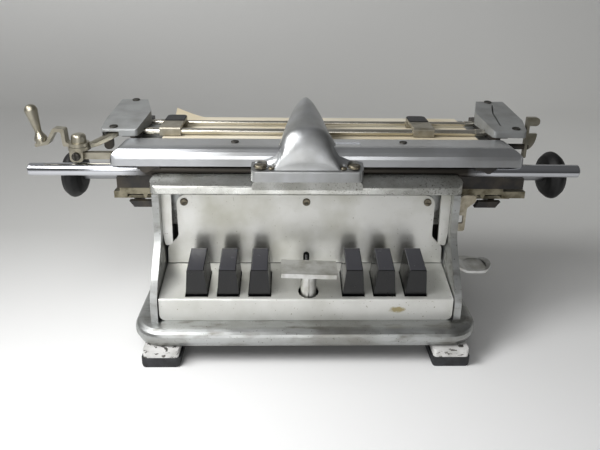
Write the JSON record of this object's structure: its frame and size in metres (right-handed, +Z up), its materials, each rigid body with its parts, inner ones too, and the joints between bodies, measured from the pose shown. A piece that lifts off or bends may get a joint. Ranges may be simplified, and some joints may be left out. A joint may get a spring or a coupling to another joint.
{
  "type": "braillewriter",
  "caption": "Cast metal braille embossing machine with six black keys, a space key, a sliding carriage on a round bar, roller knobs and a line lever.",
  "frame": {"origin": "bottom centre of the whole machine's box, on the floor", "axes": "+X to the right as seen by the typist, +Y from the keys to the back, +Z up"},
  "size_m": [0.449, 0.1806, 0.1929],
  "materials": {
    "cast_aluminium": "polished satin casting",
    "block_paint": "worn white paint",
    "foot_rubber": "matt",
    "sheet_metal": "satin sheet",
    "hood_metal": "satin casting",
    "chrome": "polished",
    "nickel": "nickel plated",
    "steel": "bright steel",
    "dark_steel": "dark enamel",
    "brass": "dull brass",
    "screw_metal": "tarnished",
    "key_plastic": "black gloss",
    "knob_plastic": "black gloss",
    "housing_metal": "satin casting",
    "roller_rubber": "ground",
    "cream_metal": "cream paint",
    "paper": "uncoated"
  },
  "bodies": {
    "base": {"body_casting": "cast_aluminium", "bottom_pan": "dark_steel", "foot_blocks": "block_paint", "rubber_feet": "foot_rubber", "key_deck": "sheet_metal", "back_panel": "sheet_metal", "side_strips": "sheet_metal", "body_screws": "screw_metal", "top_cover": "cast_aluminium", "head_hood": "hood_metal", "die_block": "steel", "rear_cover": "sheet_metal", "guide_bar": "chrome", "rear_rail": "steel", "key_axle": "steel", "pin_guide": "steel", "side_bracket": "cream_metal"},
    "carriage": {"carriage_cover": "cast_aluminium", "carriage_frame": "dark_steel", "left_housing": "housing_metal", "right_housing": "housing_metal", "carriage_screws": "screw_metal", "escapement_rack": "brass", "paper_table": "sheet_metal", "paper_sheet": "paper", "paper_rods": "nickel", "lever_bracket": "nickel"},
    "roller": {"feed_roller": "roller_rubber", "roller_axle": "steel", "left_knob": "knob_plastic", "right_knob": "knob_plastic", "ratchet_wheel": "dark_steel"},
    "left_guide": {"left_paper_guide": "nickel"},
    "right_guide": {"right_paper_guide": "nickel"},
    "line_lever": {"line_lever": "nickel"},
    "lever_grip": {"lever_grip": "nickel"},
    "release_lever": {"release_lever": "nickel"},
    "escapement": {"escapement_wheel": "brass"},
    "drum": {"spring_drum": "steel"},
    "space_key": {"space_plate": "nickel", "space_lever": "steel"},
    "side_tab": {"side_tab": "nickel"},
    "key_1": {"key_cap_1": "key_plastic", "key_lever_1": "steel"},
    "pin_1": {"emboss_pin_1": "steel"},
    "key_2": {"key_cap_2": "key_plastic", "key_lever_2": "steel"},
    "pin_2": {"emboss_pin_2": "steel"},
    "key_3": {"key_cap_3": "key_plastic", "key_lever_3": "steel"},
    "pin_3": {"emboss_pin_3": "steel"},
    "key_4": {"key_cap_4": "key_plastic", "key_lever_4": "steel"},
    "pin_4": {"emboss_pin_4": "steel"},
    "key_5": {"key_cap_5": "key_plastic", "key_lever_5": "steel"},
    "pin_5": {"emboss_pin_5": "steel"},
    "key_6": {"key_cap_6": "key_plastic", "key_lever_6": "steel"},
    "pin_6": {"emboss_pin_6": "steel"}
  },
  "joints": [
    {"name": "carriage_slide", "type": "slide", "parent": "base", "child": "carriage", "axis": [1, 0, 0], "range_m": [-0.072, 0.084]},
    {"name": "escapement_turn", "type": "hinge", "parent": "base", "child": "escapement", "pos_m": [0.0135, -0.01525, 0.10191], "axis": [0, 1, 0], "range_deg": [-352, 410]},
    {"name": "drum_turn", "type": "hinge", "parent": "base", "child": "drum", "pos_m": [-0.0755, 0.02475, 0.088], "axis": [0, 0, 1], "range_deg": [-208, 242]},
    {"name": "roller_turn", "type": "hinge", "parent": "carriage", "child": "roller", "pos_m": [0.0085, 0.00475, 0.126], "axis": [1, 0, 0], "continuous": true},
    {"name": "left_guide_slide", "type": "slide", "parent": "carriage", "child": "left_guide", "axis": [1, 0, 0], "range_m": [-0.005, 0.004]},
    {"name": "right_guide_slide", "type": "slide", "parent": "carriage", "child": "right_guide", "axis": [1, 0, 0], "range_m": [-0.002, 0.036]},
    {"name": "line_lever_swing", "type": "hinge", "parent": "carriage", "child": "line_lever", "pos_m": [-0.1845, -0.02125, 0.16], "axis": [0, 0, 1], "range_deg": [0, 40], "stiffness_Nm_per_rad": 0.08, "springref_deg": -5.73},
    {"name": "grip_spin", "type": "hinge", "parent": "line_lever", "child": "lever_grip", "pos_m": [-0.214, -0.02125, 0.1625], "axis": [-0.2079, 0, 0.9781], "continuous": true},
    {"name": "release_lever_tilt", "type": "hinge", "parent": "carriage", "child": "release_lever", "pos_m": [0.1935, 0.01175, 0.15], "axis": [1, 0, 0], "range_deg": [0, 14]},
    {"name": "space_press", "type": "hinge", "parent": "base", "child": "space_key", "pos_m": [0.001, 0.00775, 0.044], "axis": [1, 0, 0], "range_deg": [0, 4.5], "stiffness_Nm_per_rad": 1.2, "springref_deg": -3.44},
    {"name": "side_tab_press", "type": "hinge", "parent": "base", "child": "side_tab", "pos_m": [0.1075, -0.02025, 0.056], "axis": [0, 1, 0], "range_deg": [0, 4], "stiffness_Nm_per_rad": 0.6, "springref_deg": -2.86},
    {"name": "key_1_press", "type": "hinge", "parent": "base", "child": "key_1", "pos_m": [-0.0879, 0.00775, 0.044], "axis": [1, 0, 0], "range_deg": [0, 4.5], "stiffness_Nm_per_rad": 0.9, "springref_deg": -3.44},
    {"name": "pin_1_rise", "type": "slide", "parent": "base", "child": "pin_1", "axis": [0, 0, 1], "range_m": [0, 0.0027]},
    {"name": "key_2_press", "type": "hinge", "parent": "base", "child": "key_2", "pos_m": [-0.0629, 0.00775, 0.044], "axis": [1, 0, 0], "range_deg": [0, 4.5], "stiffness_Nm_per_rad": 0.9, "springref_deg": -3.44},
    {"name": "pin_2_rise", "type": "slide", "parent": "base", "child": "pin_2", "axis": [0, 0, 1], "range_m": [0, 0.0027]},
    {"name": "key_3_press", "type": "hinge", "parent": "base", "child": "key_3", "pos_m": [-0.0379, 0.00775, 0.044], "axis": [1, 0, 0], "range_deg": [0, 4.5], "stiffness_Nm_per_rad": 0.9, "springref_deg": -3.44},
    {"name": "pin_3_rise", "type": "slide", "parent": "base", "child": "pin_3", "axis": [0, 0, 1], "range_m": [0, 0.0027]},
    {"name": "key_4_press", "type": "hinge", "parent": "base", "child": "key_4", "pos_m": [0.0369, 0.00775, 0.044], "axis": [1, 0, 0], "range_deg": [0, 4.5], "stiffness_Nm_per_rad": 0.9, "springref_deg": -3.44},
    {"name": "pin_4_rise", "type": "slide", "parent": "base", "child": "pin_4", "axis": [0, 0, 1], "range_m": [0, 0.0027]},
    {"name": "key_5_press", "type": "hinge", "parent": "base", "child": "key_5", "pos_m": [0.0619, 0.00775, 0.044], "axis": [1, 0, 0], "range_deg": [0, 4.5], "stiffness_Nm_per_rad": 0.9, "springref_deg": -3.44},
    {"name": "pin_5_rise", "type": "slide", "parent": "base", "child": "pin_5", "axis": [0, 0, 1], "range_m": [0, 0.0027]},
    {"name": "key_6_press", "type": "hinge", "parent": "base", "child": "key_6", "pos_m": [0.0869, 0.00775, 0.044], "axis": [1, 0, 0], "range_deg": [0, 4.5], "stiffness_Nm_per_rad": 0.9, "springref_deg": -3.44},
    {"name": "pin_6_rise", "type": "slide", "parent": "base", "child": "pin_6", "axis": [0, 0, 1], "range_m": [0, 0.0027]}
  ],
  "couplings": [
    {"joint": "escapement_turn", "follows": "carriage_slide", "rad_per_m": 84.451},
    {"joint": "drum_turn", "follows": "carriage_slide", "rad_per_m": 48.781},
    {"joint": "pin_1_rise", "follows": "key_1_press", "m_per_rad": 0.032},
    {"joint": "pin_2_rise", "follows": "key_2_press", "m_per_rad": 0.0275},
    {"joint": "pin_3_rise", "follows": "key_3_press", "m_per_rad": 0.023},
    {"joint": "pin_4_rise", "follows": "key_4_press", "m_per_rad": 0.023},
    {"joint": "pin_5_rise", "follows": "key_5_press", "m_per_rad": 0.0275},
    {"joint": "pin_6_rise", "follows": "key_6_press", "m_per_rad": 0.032}
  ]
}
